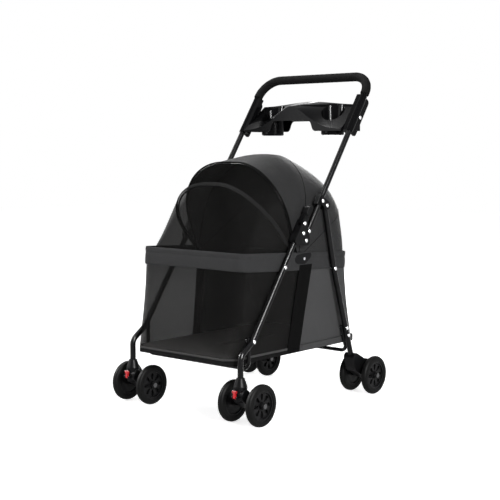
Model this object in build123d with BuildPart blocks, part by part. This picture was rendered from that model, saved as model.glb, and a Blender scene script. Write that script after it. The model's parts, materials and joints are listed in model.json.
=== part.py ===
from build123d import *
from math import atan2, cos, degrees, hypot, radians, sin, tan
import os

os.makedirs("parts", exist_ok=True)

# Wheels and running gear
wheel_radius = 57.0
tyre_width = 19.0
tyre_depth = 15.5
tread_round = 8.0
hub_boss_radius = 11.0
hub_boss_width = 24.0
hub_web = 6.0
hub_rim = 5.0
hub_rim_width = 15.0
hub_window_count = 8
hub_window_outer = 5.6
hub_window_inner = 2.6
hub_spoke_root = 3.2
axle_radius = 4.0
axle_head_radius = 7.0
axle_head_length = 3.0
wheel_base = 533.2
front_twin_spacing = 98.0
rear_twin_spacing = 80.0
caster_trail = 26.0

# Tube frame
track = 412.0
tube_radius = 8.0
tube_wall = 1.5
cross_tube_radius = 5.5
leg_lean = 34.7
leg_offset = 33.0
fold_pivot_y = -25.4
fold_pivot_z = 476.8
leg_top = 22.0
leg_knee_z = 219.0
stem_knee_z = 184.0
leg_bend_radius = 26.0
handle_height = 947.0
handle_bend_radius = 62.0
grip_radius = 13.4
grip_start = 503.0
rear_pivot_y = 70.2
rear_pivot_z = 571.2
rear_rail_y = 116.0
rear_rail_z = 387.0
rear_foot_y = 217.0
rear_foot_z = 84.0
rear_bend_radius = 300.0
front_rail_z = 408.0
cross_tube_rise = 10.0
cross_bend_radius = 20.0
front_cross_z = 143.5
rear_cross_z = 133.0
rear_rivet_z = (206.0, 183.0)

# Plates, pins and rivets
plate = 3.0
fold_plate_radius = 14.0
leg_plate_radius = 11.4
upper_plate_radius = 11.5
pin_radius = 3.0
rivet_radius = 2.3
head_radius = 5.5
head_height = 2.6
inner_head_height = 1.2
leg_rivet_along = 10.3
leg_rivet_behind = 10.8
tail_rivet_along = 30.5
upper_bracket_along = 131.5
latch_pivot_along = 36.0
latch_length = 46.0
latch_half_width = 11.0
latch_radius = 8.6
catch_along = 112.0
catch_length = 34.0
catch_depth = 16.0
rail_width = 14.0
rail_thickness = 3.0

# Caster, swivel lock, rear housing and brake
swivel_top_z = 100.0
swivel_radius = 17.0
swivel_half_width = 20.0
axle_boss_radius = 14.0
stem_pin_radius = 6.0
stem_pin_length = 17.0
collar_radius = 18.5
collar_height = 28.0
collar_flange = 6.0
button_radius = 3.5
button_height = 18.0
button_reach = 8.5
lock_pivot_ahead = 23.0
lock_pivot_z = 80.0
lock_half_width = 7.0
lock_barrel_radius = 3.6
lock_pin_radius = 2.0
lock_height = 20.0
lock_ear = 2.6
housing_half_width = 18.0
housing_socket_radius = 13.0
housing_socket_depth = 44.0
brake_pivot_above = 27.0
brake_pivot_behind = 12.0
brake_arm = 2.6
brake_reach = 40.0
brake_barrel_radius = 6.5
brake_foot_depth = 16.0

# Basket, band and floor
basket_half_width = 196.0
band_front_y = -268.5
band_rear_y = 209.5
band_front_z = 455.0
band_rear_z = 431.0
band_height = 50.0
band_corner = 36.0
band_thickness = 1.6
strip_thickness = 1.0
strip_height = 17.0
strip_drop = 17.0
floor_half_width = 184.0
floor_front_y = -309.0
floor_rear_y = 258.0
floor_corner = 24.0
floor_bottom_z = 158.0
board_thickness = 11.0
mat_thickness = 8.0
mat_edge_thickness = 6.0
mat_margin = 6.0
wall_thickness = 2.0
wall_inset = 2.0
webbing_top_y = -5.0
webbing_foot_y = -40.0
webbing_width = 56.0
webbing_thickness = 1.4
floor_rib_height = 4.0
floor_rib_width = 8.0
floor_saddle_x = 105.0
floor_saddle_width = 30.0
floor_saddle_depth = 24.0

# Canopy and hood: arches that fan out from one pivot line across the basket
canopy_pivot_y = -38.0
canopy_pivot_z = 424.0
canopy_half_width = 192.5
cloth = 2.0
arch_start = 18.0
hoop_radius = 2.5
hoop_eye_radius = 6.5
hoop_eye_thickness = 3.6
hoop_gap = 1.8
canopy_pin_radius = 3.0
canopy_knob_radius = 13.0
canopy_knob_thickness = 1.5
knob_middle_back = 28.0
knob_middle_radius = 15.0
knob_tab_back = 52.0
knob_tab_up = 8.0
knob_tab_radius = 8.0
front_arch_lean = -31.3
front_arch_height = 244.6
rear_arch_lean = -12.0
rear_arch_height = 274.0
arch_shoulder = 150.0
crown_lean = 20.0
crown_height = 307.0
back_lean = 56.0
back_height = 279.0
back_shoulder = 100.0
rim_shoulder = 36.0
rim_front_lean = -85.0
rim_rear_lean = 91.5
canopy_tuck = 6.0

# Cup tray
tray_half_width = 186.0
tray_front_y = 172.0
tray_rear_y = 270.0
tray_low_z = 790.0
tray_high_z = 860.0
tray_back_z = 864.0
tray_back_rise = 12.0
tray_end_bottom_z = 784.0
tray_mid_bottom_z = 816.0
tray_mid_half_width = 62.0
tray_wall = 3.0
cup_x = 116.0
cup_y = 228.0
cup_radius = 32.0
cup_mouth_radius = 39.0
cup_bottom_z = 772.0
cup_depth = 36.0
cup_round = 6.0
clip_start = 372.0
clip_length = 128.0
clip_wall = 3.0
clip_fin = 21.0
clip_fin_thickness = 4.0
clip_pin_along = 436.0

# Clearances
fit_gap = 0.05
seat_gap = 0.1
side_gap = 0.3
face_gap = 0.3

# Derived places
leg_x = track / 2
axle_front_y = -wheel_base / 2
axle_rear_y = wheel_base / 2
stem_y = axle_front_y - caster_trail
lean = radians(leg_lean)
hub_radius = wheel_radius - tyre_depth
slot_half = tube_radius + side_gap
plate_out = slot_half + plate
board_top_z = floor_bottom_z + board_thickness
floor_edge_z = board_top_z + mat_edge_thickness
collar_bottom_z = swivel_top_z + face_gap
tube_seat_z = swivel_top_z + stem_pin_length + face_gap
rail_x = basket_half_width - band_thickness - strip_thickness - wall_thickness - rail_thickness / 2 - side_gap
lower_lean = (rear_foot_y - rear_rail_y) / (rear_rail_z - rear_foot_z)
sides = {"left": -1, "right": 1}


def on_handle(along, behind=0.0):
    """A side-view point along the handle tube, measured up from the fold pivot."""
    y = fold_pivot_y + along * sin(lean) + behind * cos(lean)
    z = fold_pivot_z + along * cos(lean) - behind * sin(lean)
    return y, z


def on_leg(along, behind=0.0):
    """The same, along the front leg that runs ahead of the handle tube."""
    return on_handle(along, behind - leg_offset)


def on_leg_at(z):
    """The front leg's side-view point at a height."""
    y, z_zero = on_leg(0)
    return y + (z - z_zero) * tan(lean), z


def on_rear_leg_at(z):
    """The lower run of the rear leg at a height."""
    return rear_rail_y + (rear_rail_z - z) * lower_lean, z


def across(y, z, x=0.0):
    """A plane square to the X axis through a side-view point."""
    return Plane(origin=(x, y, z), x_dir=(0, 1, 0), z_dir=(1, 0, 0))


def write(shape, name):
    shape.label = name
    export_step(shape, f"parts/{name}.step")


def tube(points, radius, bend, wall=tube_wall, hollow=True):
    """A bent round tube or rod along straight runs with rounded corners."""
    with BuildPart() as bent:
        with BuildLine() as path:
            FilletPolyline(*points, radius=bend)
        with BuildSketch(Plane(origin=path.line @ 0, z_dir=path.line % 0)):
            Circle(radius)
            if hollow:
                Circle(radius - wall, mode=Mode.SUBTRACT)
        sweep(path=path.line)
    return bent.part


def pins(places, x_in, x_out, radius, head=head_radius, inner_head=inner_head_height):
    """Rivets along X with a low inner head and a domed outer head, on both sides."""
    dome_radius = (head**2 + head_height**2) / (2 * head_height)
    x_low = x_in - inner_head
    x_top = x_out + head_height
    with BuildPart() as group:
        for y, z in places:
            with BuildSketch(Plane.XZ.offset(-y)):
                with BuildLine():
                    Polyline((x_in, z), (x_low, z), (x_low, z + head), (x_in, z + head))
                    Polyline((x_in, z + head), (x_in, z + radius), (x_out, z + radius), (x_out, z + head))
                    RadiusArc((x_out, z + head), (x_top, z), dome_radius)
                    Line((x_top, z), (x_in, z))
                make_face()
            revolve(axis=Axis((0, y, z), (1, 0, 0)))
        mirror(about=Plane.YZ)
    return group.part


def holes(places, radius, side):
    """Pin holes along X through the open part on one side."""
    for y, z in places:
        with Locations(across(y, z, side * leg_x)):
            Cylinder(radius, 2 * plate_out + 2 * tube_radius, mode=Mode.SUBTRACT)


# Side-view places of the pivots and rivets
fold_pivot = on_handle(0)
leg_rivet = on_leg(leg_rivet_along, leg_rivet_behind)
latch_pivot = on_leg(latch_pivot_along)
tail_rivet = on_handle(tail_rivet_along)
upper_rivet = on_handle(upper_bracket_along)
rear_pivot = (rear_pivot_y, rear_pivot_z)
front_rail = on_leg_at(front_rail_z)
rear_rail = (rear_rail_y, rear_rail_z)
leg_knee = on_leg_at(leg_knee_z)
handle_along = (handle_height - fold_pivot_z) / cos(lean)
rear_rivets = [on_rear_leg_at(z) for z in rear_rivet_z]
clip_pin = on_handle(clip_pin_along, tube_radius + clip_wall + clip_fin / 2)


# Front legs: straight down from the fold joint, stepped forward to an upright stem
for side_name, side in sides.items():
    x = side * leg_x
    leg_tube = tube(
        [(x, *on_leg(leg_top)), (x, *leg_knee), (x, stem_y, stem_knee_z), (x, stem_y, tube_seat_z)],
        tube_radius, leg_bend_radius,
    )
    with BuildPart() as front_leg:
        add(leg_tube)
        holes([front_rail], pin_radius + fit_gap, side)
        holes([leg_knee], rivet_radius + fit_gap, side)
    write(front_leg.part, f"front_leg_{side_name}")

# Front cross tube: a shallow U under the floor, riveted inside both knees
cross_x = leg_x - tube_radius - seat_gap - cross_tube_radius
knee_y = leg_knee[0]
cross_u = tube(
    [
        (-cross_x, knee_y, leg_knee_z + cross_tube_rise),
        (-cross_x, knee_y, front_cross_z),
        (cross_x, knee_y, front_cross_z),
        (cross_x, knee_y, leg_knee_z + cross_tube_rise),
    ],
    cross_tube_radius, cross_bend_radius,
)
with BuildPart() as front_cross_tube:
    add(cross_u)
    with Locations(across(*leg_knee)):
        Cylinder(rivet_radius + fit_gap, 2 * leg_x, mode=Mode.SUBTRACT)
write(front_cross_tube.part, "front_cross_tube")

# Fold brackets: channels that wrap the legs from the front and carry the handle and latch pivots
for side_name, side in sides.items():
    with BuildPart() as fold_bracket:
        with BuildSketch(Plane.YZ.offset(side * leg_x - plate_out)):
            with Locations(fold_pivot):
                Circle(fold_plate_radius)
            for along in (-leg_top, leg_rivet_along, latch_pivot_along):
                with Locations(on_leg(along)):
                    Circle(leg_plate_radius)
            make_hull()
        extrude(amount=2 * plate_out)
        with BuildSketch(Plane.YZ.offset(side * leg_x - slot_half)):
            for along in (-3 * leg_top, latch_pivot_along + 3 * leg_top):
                with Locations(on_leg(along)):
                    Circle(tube_radius + seat_gap)
                with Locations(on_leg(along, 3 * leg_offset)):
                    Circle(tube_radius)
            make_hull()
            with Locations(Location((*on_leg(leg_top), 0), (0, 0, 90 - leg_lean))):
                Rectangle(2 * leg_top, 4 * leg_plate_radius, align=(Align.MIN, Align.CENTER))
        extrude(amount=2 * slot_half, mode=Mode.SUBTRACT)
        holes([fold_pivot, latch_pivot], pin_radius + fit_gap, side)
        holes([leg_rivet], rivet_radius + fit_gap, side)
    write(fold_bracket.part, f"fold_bracket_{side_name}")

# Latch levers on top of the legs, a narrow root between the plates and a wider thumb end
latch_tip_along = latch_pivot_along + latch_length
thumb_along = latch_tip_along - latch_length / 2 + latch_radius
for side_name, side in sides.items():
    with BuildPart() as latch:
        with BuildSketch(Plane.YZ.offset(side * leg_x - tube_radius)):
            for along in (latch_pivot_along, latch_tip_along):
                with Locations(on_leg(along)):
                    Circle(latch_radius)
            make_hull()
        extrude(amount=2 * tube_radius)
        with BuildSketch(Plane.YZ.offset(side * leg_x - latch_half_width)):
            for along in (thumb_along, latch_tip_along):
                with Locations(on_leg(along, -plate / 2)):
                    Circle(latch_radius)
            make_hull()
        extrude(amount=2 * latch_half_width)
        fillet(latch.faces().sort_by(Axis.X)[-1].edges(), plate / 2)
        fillet(latch.faces().sort_by(Axis.X)[0].edges(), plate / 2)
        holes([latch_pivot], pin_radius + fit_gap, side)
    write(latch.part, f"latch_{side_name}")

# Stem collars: tapered sockets that hold the tube end above and the swivel pin below, with a spring button
with BuildPart() as collar:
    with BuildSketch(Plane.XZ):
        with BuildLine():
            Polyline(
                (stem_pin_radius + fit_gap, collar_bottom_z),
                (collar_radius, collar_bottom_z),
                (collar_radius, collar_bottom_z + collar_flange),
                (tube_radius + plate, collar_bottom_z + collar_height),
                (tube_radius + seat_gap, collar_bottom_z + collar_height),
                (tube_radius + seat_gap, tube_seat_z - seat_gap),
                (stem_pin_radius + fit_gap, tube_seat_z - seat_gap),
                close=True,
            )
        make_face()
    revolve(axis=Axis.Z)
    with Locations(across(0, collar_bottom_z + button_height, tube_radius + plate / 2)):
        Cylinder(button_radius, button_reach, align=(Align.CENTER, Align.CENTER, Align.MIN))
    button_rim = collar.faces().filter_by(Axis.X).sort_by(Axis.X)[-1].edges()
    fillet(button_rim, button_radius / 3)
with BuildPart() as stem_collars:
    with Locations((leg_x, stem_y, 0)):
        add(collar.part)
    mirror(about=Plane.YZ)
write(stem_collars.part, "stem_collars")

# Rivets and pivot pins that stay with the front frame
rivet_sets = [
    pins([fold_pivot, latch_pivot], leg_x - plate_out, leg_x + plate_out, pin_radius),
    pins([leg_rivet], leg_x - plate_out, leg_x + plate_out, rivet_radius),
    pins([leg_knee], cross_x - cross_tube_radius, leg_x + tube_radius, rivet_radius),
    pins([front_rail], rail_x - rail_thickness / 2 - face_gap, leg_x + tube_radius, pin_radius),
]
with BuildPart() as frame_rivets:
    add(rivet_sets)
write(frame_rivets.part, "frame_rivets")

# Handle: one U of tube with rounded corners
handle_u = tube(
    [
        (-leg_x, *on_handle(-tube_radius)),
        (-leg_x, *on_handle(handle_along)),
        (leg_x, *on_handle(handle_along)),
        (leg_x, *on_handle(-tube_radius)),
    ],
    tube_radius, handle_bend_radius,
)
with BuildPart() as handle_tube:
    add(handle_u)
    for side in sides.values():
        holes([fold_pivot], pin_radius + fit_gap, side)
        holes([tail_rivet, upper_rivet], rivet_radius + fit_gap, side)
write(handle_tube.part, "handle_tube")

# Foam grip sleeve over the handle's bends and bar
grip = tube(
    [
        (-leg_x, *on_handle(grip_start)),
        (-leg_x, *on_handle(handle_along)),
        (leg_x, *on_handle(handle_along)),
        (leg_x, *on_handle(grip_start)),
    ],
    grip_radius, handle_bend_radius, grip_radius - tube_radius - seat_gap,
)
write(grip, "grip")

# Upper brackets: plate pairs that carry the rear legs behind the handle tubes
with BuildPart() as upper_brackets:
    for side in sides.values():
        for x in (side * leg_x - plate_out, side * leg_x + slot_half):
            with BuildSketch(Plane.YZ.offset(x)):
                for place in (upper_rivet, rear_pivot):
                    with Locations(place):
                        Circle(upper_plate_radius)
                make_hull()
                with Locations(upper_rivet):
                    Circle(rivet_radius + fit_gap, mode=Mode.SUBTRACT)
                with Locations(rear_pivot):
                    Circle(pin_radius + fit_gap, mode=Mode.SUBTRACT)
            extrude(amount=plate)
write(upper_brackets.part, "upper_brackets")

# Catch blocks: moulded keepers on the front of the handle tubes, above the latch levers
catch_plane = Plane(origin=(0, *on_handle(catch_along)), x_dir=(1, 0, 0), z_dir=(0, sin(lean), cos(lean)))
with BuildPart() as catch_blocks:
    for side in sides.values():
        with BuildSketch(catch_plane):
            with Locations((side * leg_x, -catch_depth / 2)):
                RectangleRounded(2 * tube_radius, catch_depth, plate)
            with Locations((side * leg_x, 0)):
                Circle(tube_radius + seat_gap, mode=Mode.SUBTRACT)
                Rectangle(4 * tube_radius, tube_radius, mode=Mode.SUBTRACT)
        extrude(amount=catch_length)
    noses = catch_blocks.edges().filter_by(Axis.X).group_by(Axis.Z)[0]
    chamfer(noses, catch_depth / 4)
write(catch_blocks.part, "catch_blocks")


# Cup tray: an arched bridge that is ruled from a wavy front edge to a gently arched back edge
def tray_block(inset, drop, end_bottom, mid_bottom):
    """Front and back faces of the tray's block; a loft joins them."""
    half = tray_half_width - inset
    mid = tray_mid_half_width + inset
    foot = mid + mid_bottom - end_bottom
    faces = []
    for y, ends_z, middle_z in (
        (tray_front_y + inset, tray_low_z - drop, tray_high_z - drop),
        (tray_rear_y - inset, tray_back_z - drop, tray_back_z + tray_back_rise - drop),
    ):
        with BuildSketch(Plane.XZ.offset(-y)) as face:
            with BuildLine():
                Spline((-half, ends_z), (0, middle_z), (half, ends_z), tangents=((1, 0), (1, 0)))
                Polyline((half, ends_z), (half, end_bottom), (foot, end_bottom))
                Spline((foot, end_bottom), (mid, mid_bottom), tangents=((-1, 0), (-1, 0)))
                Line((mid, mid_bottom), (-mid, mid_bottom))
                Spline((-mid, mid_bottom), (-foot, end_bottom), tangents=((-1, 0), (-1, 0)))
                Polyline((-foot, end_bottom), (-half, end_bottom), (-half, ends_z))
            make_face()
        faces.append(face.sketch)
    return faces


def cup_pair(radius, mouth_radius, bottom, corner):
    """Both cups as solid forms: straight at the bottom, flared up to the mouth."""
    straight_top = cup_bottom_z + tray_wall + cup_depth
    mouth_z = tray_back_z + tray_back_rise
    with BuildPart() as pair:
        with BuildSketch(Plane(origin=(cup_x, cup_y, 0), x_dir=(1, 0, 0), z_dir=(0, -1, 0))):
            with BuildLine():
                Polyline((0, mouth_z), (0, bottom), (radius, bottom), (radius, straight_top))
                Polyline((radius, straight_top), (mouth_radius, mouth_z), (0, mouth_z))
            make_face()
            fillet(vertices().group_by(Axis.Y)[0].sort_by(Axis.X)[-1], corner)
        revolve(axis=Axis((cup_x, cup_y, 0), (0, 0, 1)))
        mirror(about=Plane.YZ)
    return pair.part


cup_outsides = cup_pair(cup_radius + tray_wall, cup_mouth_radius + tray_wall, cup_bottom_z, cup_round)
cup_insides = cup_pair(cup_radius, cup_mouth_radius, cup_bottom_z + tray_wall, cup_round - tray_wall)
with BuildPart() as cups:
    add(cup_outsides)
    loft(tray_block(0, 0, cup_bottom_z - tray_wall, cup_bottom_z), mode=Mode.INTERSECT)
with BuildPart() as cup_tray:
    loft(tray_block(0, 0, tray_end_bottom_z, tray_mid_bottom_z))
    loft(tray_block(tray_wall, tray_wall, cup_bottom_z - tray_wall, cup_bottom_z), mode=Mode.SUBTRACT)
    add(cups.part)
    add(cup_insides, mode=Mode.SUBTRACT)
write(cup_tray.part, "cup_tray")

# Tray clips: sleeves along the handle tubes with an arm to the tray and a fin behind
clip_plane = Plane(origin=(0, *on_handle(clip_start)), x_dir=(1, 0, 0), z_dir=(0, sin(lean), cos(lean)))
arm_length = leg_x - tray_half_width - seat_gap
with BuildPart() as tray_clips:
    for side in sides.values():
        with BuildSketch(clip_plane):
            with Locations((side * leg_x, 0)):
                Circle(tube_radius + clip_wall)
            with Locations((side * (leg_x - arm_length / 2), 0)):
                Rectangle(arm_length, 2 * tube_radius)
            with Locations((side * leg_x, (tube_radius + clip_wall + clip_fin) / 2)):
                Rectangle(clip_fin_thickness, tube_radius + clip_wall + clip_fin)
            with Locations((side * leg_x, 0)):
                Circle(tube_radius + seat_gap, mode=Mode.SUBTRACT)
        extrude(amount=clip_length)
    fin_corners = tray_clips.edges().filter_by(Axis.X).group_by(Axis.Y)[-1]
    fillet(fin_corners, clip_fin / 2)
    low_corners = tray_clips.edges().filter_by(Axis.X).group_by(Axis.Z)[0]
    fillet(low_corners, clip_fin / 2)
    with Locations(across(*clip_pin)):
        Cylinder(rivet_radius + fit_gap, 2 * track, mode=Mode.SUBTRACT)
write(tray_clips.part, "tray_clips")

# Rivets and pins that move with the handle
fin_half = clip_fin_thickness / 2
rivet_sets = [
    pins([tail_rivet], leg_x - tube_radius, leg_x + tube_radius, rivet_radius),
    pins([upper_rivet], leg_x - plate_out, leg_x + plate_out, rivet_radius),
    pins([rear_pivot], leg_x - plate_out, leg_x + plate_out, pin_radius),
    pins([clip_pin], leg_x - fin_half, leg_x + fin_half, rivet_radius),
]
with BuildPart() as handle_rivets:
    add(rivet_sets)
write(handle_rivets.part, "handle_rivets")

# Rear legs: tubes with a gentle bend at the rail pivot
rear_top_y = rear_pivot_y - tube_radius * (rear_rail_y - rear_pivot_y) / (rear_pivot_z - rear_rail_z)
for side_name, side in sides.items():
    x = side * leg_x
    leg_tube = tube(
        [(x, rear_top_y, rear_pivot_z + tube_radius), (x, *rear_rail), (x, rear_foot_y, rear_foot_z)],
        tube_radius, rear_bend_radius,
    )
    with BuildPart() as rear_leg:
        add(leg_tube)
        holes([rear_pivot], pin_radius + fit_gap, side)
        holes([rear_rail], pin_radius + fit_gap, side)
        holes(rear_rivets, rivet_radius + fit_gap, side)
    write(rear_leg.part, f"rear_leg_{side_name}")

# Rear cross tube: a shallow U that runs under the floor and up inside both legs
rear_up = on_rear_leg_at(rear_rivet_z[0] + cross_tube_radius)
rear_down = on_rear_leg_at(rear_cross_z)
cross_u = tube(
    [(-cross_x, *rear_up), (-cross_x, *rear_down), (cross_x, *rear_down), (cross_x, *rear_up)],
    cross_tube_radius, cross_bend_radius,
)
with BuildPart() as rear_cross_tube:
    add(cross_u)
    for place in rear_rivets:
        with Locations(across(*place)):
            Cylinder(rivet_radius + fit_gap, 2 * leg_x, mode=Mode.SUBTRACT)
write(rear_cross_tube.part, "rear_cross_tube")

# Rear wheel housings: moulded arms from the leg ends back to the axles
socket_place = on_rear_leg_at(rear_foot_z + housing_socket_depth - housing_socket_radius)
foot_dir = (0, -lower_lean, 1)
brake_pivot = (axle_rear_y + brake_pivot_behind, wheel_radius + brake_pivot_above)
with BuildPart() as rear_housings:
    for side in sides.values():
        with BuildSketch(Plane.YZ.offset(side * leg_x - housing_half_width)):
            with Locations(socket_place, (rear_foot_y, rear_foot_z)):
                Circle(housing_socket_radius)
            with Locations((axle_rear_y, wheel_radius)):
                Circle(axle_boss_radius)
            with Locations(brake_pivot):
                Circle(brake_barrel_radius)
            make_hull()
        extrude(amount=2 * housing_half_width)
        with Locations(across(axle_rear_y, wheel_radius, side * leg_x)):
            Cylinder(axle_boss_radius - plate, rear_twin_spacing - hub_boss_width - 2 * face_gap)
    for side in sides.values():
        with Locations(Plane(origin=(side * leg_x, rear_foot_y, rear_foot_z), z_dir=foot_dir)):
            Cylinder(
                tube_radius + seat_gap, 2 * housing_socket_depth, mode=Mode.SUBTRACT,
                align=(Align.CENTER, Align.CENTER, Align.MIN),
            )
        with Locations(across(axle_rear_y, wheel_radius, side * leg_x)):
            Cylinder(axle_radius + fit_gap, rear_twin_spacing, mode=Mode.SUBTRACT)
        with Locations(across(*brake_pivot, side * leg_x)):
            Cylinder(pin_radius + fit_gap, rear_twin_spacing, mode=Mode.SUBTRACT)
write(rear_housings.part, "rear_housings")


def axle_rods(y, spacing, places):
    """Axles along X with a head outside each wheel of the twin pair."""
    reach = spacing / 2 + hub_boss_width / 2 + face_gap
    with BuildPart() as rods:
        for x in places:
            with Locations(across(y, wheel_radius, x)):
                Cylinder(axle_radius, 2 * reach)
            for end in (-1, 1):
                with Locations(across(y, wheel_radius, x + end * (reach + axle_head_length / 2))):
                    Cylinder(axle_head_radius, axle_head_length)
    return rods.part


write(axle_rods(axle_rear_y, rear_twin_spacing, [-leg_x, leg_x]), "rear_axles")

# Rivets that move with the rear legs; the rail pin stops short of the rail
rivet_sets = [
    pins(rear_rivets, cross_x - cross_tube_radius, leg_x + tube_radius, rivet_radius),
    pins([rear_rail], leg_x - tube_radius, leg_x + tube_radius, pin_radius),
]
with BuildPart() as rear_rivet_group:
    add(rivet_sets)
write(rear_rivet_group.part, "rear_rivets")

# Brake pedals: yokes that straddle the housings, pin across and foot plate behind
yoke_in = housing_half_width + side_gap
foot_place = (brake_pivot[0] + brake_reach - brake_foot_depth / 2, brake_pivot[1] + brake_barrel_radius)
for side_name, side in sides.items():
    with BuildPart() as brake_pedal:
        for x in (side * leg_x - yoke_in - brake_arm, side * leg_x + yoke_in):
            with BuildSketch(Plane.YZ.offset(x)):
                with Locations(brake_pivot):
                    Circle(brake_barrel_radius)
                with Locations(foot_place):
                    Circle(brake_arm)
                make_hull()
            extrude(amount=brake_arm)
        with Locations(across(*brake_pivot, side * leg_x)):
            Cylinder(pin_radius, 2 * yoke_in)
        with BuildSketch(Plane.YZ.offset(side * leg_x - yoke_in)):
            with Locations(foot_place):
                SlotCenterToCenter(brake_foot_depth, 2 * brake_arm, rotation=-leg_lean / 2)
        extrude(amount=2 * yoke_in)
    write(brake_pedal.part, f"brake_pedal_{side_name}")

# Casters: swivel housing, upright pin and axle boss, with ears for the swivel lock
lock_pivot = (stem_y - lock_pivot_ahead, lock_pivot_z)
for side_name, side in sides.items():
    x = side * leg_x
    with BuildPart() as caster_fork:
        with BuildSketch(Plane.YZ.offset(x - swivel_half_width)):
            with Locations((stem_y, swivel_top_z - swivel_radius)):
                Circle(swivel_radius)
            with Locations((axle_front_y, wheel_radius)):
                Circle(axle_boss_radius)
            make_hull()
        extrude(amount=2 * swivel_half_width)
        fillet(caster_fork.edges().filter_by(GeomType.LINE, reverse=True), plate)
        with Locations((x, stem_y, swivel_top_z)):
            Cylinder(swivel_radius, 2 * swivel_radius, align=(Align.CENTER, Align.CENTER, Align.MAX))
            Cylinder(stem_pin_radius, stem_pin_length, align=(Align.CENTER, Align.CENTER, Align.MIN))
        with Locations(across(axle_front_y, wheel_radius, x)):
            Cylinder(axle_boss_radius - plate, front_twin_spacing - hub_boss_width - 2 * face_gap)
        for ear_x in (x - lock_half_width - side_gap - lock_ear, x + lock_half_width + side_gap):
            with BuildSketch(Plane.YZ.offset(ear_x)):
                with Locations(lock_pivot, (stem_y, lock_pivot_z)):
                    Circle(lock_barrel_radius)
                make_hull()
            extrude(amount=lock_ear)
        with Locations(across(*lock_pivot, x)):
            Cylinder(lock_pin_radius, 2 * lock_half_width + lock_ear)
        with Locations(across(axle_front_y, wheel_radius, x)):
            Cylinder(axle_radius + fit_gap, front_twin_spacing, mode=Mode.SUBTRACT)
    write(caster_fork.part, f"caster_fork_{side_name}")
    write(axle_rods(axle_front_y, front_twin_spacing, [x]), f"caster_axle_{side_name}")

# Swivel locks: T-shaped levers on a barrel
for side_name, side in sides.items():
    x = side * leg_x
    top_place = (lock_pivot[0] - lock_pin_radius / 2, lock_pivot_z + lock_height - lock_barrel_radius)
    with BuildPart() as swivel_lock:
        with BuildSketch(Plane.YZ.offset(x - lock_half_width / 2)):
            with Locations(lock_pivot):
                Circle(lock_barrel_radius)
            with Locations(top_place):
                Circle(lock_pin_radius)
            make_hull()
        extrude(amount=lock_half_width)
        with BuildSketch(Plane.YZ.offset(x - lock_half_width)):
            with Locations(top_place):
                Circle(lock_pin_radius)
            with Locations((top_place[0], top_place[1] - lock_barrel_radius)):
                Circle(lock_pin_radius)
            make_hull()
        extrude(amount=2 * lock_half_width)
        with Locations(across(*lock_pivot, x)):
            Cylinder(lock_pin_radius + fit_gap, 4 * lock_half_width, mode=Mode.SUBTRACT)
    write(swivel_lock.part, f"swivel_lock_{side_name}")


def tyre(x, y):
    """Solid tyre: a ring with a rounded tread."""
    with BuildPart() as ring:
        with BuildSketch(Plane.XZ.offset(-y)):
            with Locations((x, wheel_radius + hub_radius + fit_gap)):
                Rectangle(tyre_width, tyre_depth - fit_gap, align=(Align.CENTER, Align.MIN))
            fillet(vertices().group_by(Axis.Y)[-1], tread_round)
        revolve(axis=Axis((x, y, wheel_radius), (1, 0, 0)))
    return ring.part


# One window of the hub's web, narrow towards the boss
with BuildSketch() as hub_window:
    with Locations((hub_radius - hub_rim - hub_spoke_root - hub_window_outer, 0)):
        Circle(hub_window_outer)
    with Locations((hub_boss_radius + hub_spoke_root + hub_window_inner, 0)):
        Circle(hub_window_inner)
    make_hull()


def hub(x, y):
    """Hub: boss, thin web with windows between its spokes, and the rim under the tyre."""
    with BuildPart() as disc:
        with Locations(across(y, wheel_radius, x)):
            Cylinder(hub_radius, hub_rim_width)
            Cylinder(hub_radius - hub_rim, hub_rim_width, mode=Mode.SUBTRACT)
            Cylinder(hub_radius - hub_rim / 2, hub_web)
            Cylinder(hub_boss_radius, hub_boss_width)
            Cylinder(axle_radius + fit_gap, hub_boss_width, mode=Mode.SUBTRACT)
        with BuildSketch(across(y, wheel_radius, x)):
            with PolarLocations(0, hub_window_count):
                add(hub_window.sketch)
        extrude(amount=hub_boss_width / 2, both=True, mode=Mode.SUBTRACT)
    return disc.part


# Eight wheels in twin pairs
wheel_ends = [("front", axle_front_y, front_twin_spacing), ("rear", axle_rear_y, rear_twin_spacing)]
for end_name, y, spacing in wheel_ends:
    for side_name, side in sides.items():
        for place_name, shift in (("inner", -spacing / 2), ("outer", spacing / 2)):
            x = side * (leg_x + shift)
            write(tyre(x, y), f"tyre_{end_name}_{side_name}_{place_name}")
            write(hub(x, y), f"hub_{end_name}_{side_name}_{place_name}")

# Side rails: flat links between the front and rear legs, inside the band
rail_angle = degrees(atan2(rear_rail[1] - front_rail[1], rear_rail[0] - front_rail[0]))
rail_length = hypot(rear_rail[0] - front_rail[0], rear_rail[1] - front_rail[1])
with BuildPart() as side_rails:
    for side in sides.values():
        with BuildSketch(Plane.YZ.offset(side * rail_x - rail_thickness / 2)):
            with Locations(Location((*front_rail, 0), (0, 0, rail_angle))):
                with Locations((rail_length / 2, 0)):
                    SlotCenterToCenter(rail_length, rail_width)
                Circle(pin_radius + fit_gap, mode=Mode.SUBTRACT)
        extrude(amount=rail_thickness)
write(side_rails.part, "side_rails")

# Floor: ribbed board that hinges on the front cross tube, with a padded mat on top
floor_length = floor_rear_y - floor_front_y
floor_middle_y = (floor_rear_y + floor_front_y) / 2


def floor_outline(inset=0.0):
    """Outline of the floor: chamfered in front, rounded behind."""
    with Locations((0, floor_middle_y)):
        Rectangle(2 * (floor_half_width - inset), floor_length - 2 * inset)
    chamfer(vertices().group_by(Axis.Y)[0], floor_corner)
    fillet(vertices().group_by(Axis.Y)[-1], floor_corner)


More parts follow.
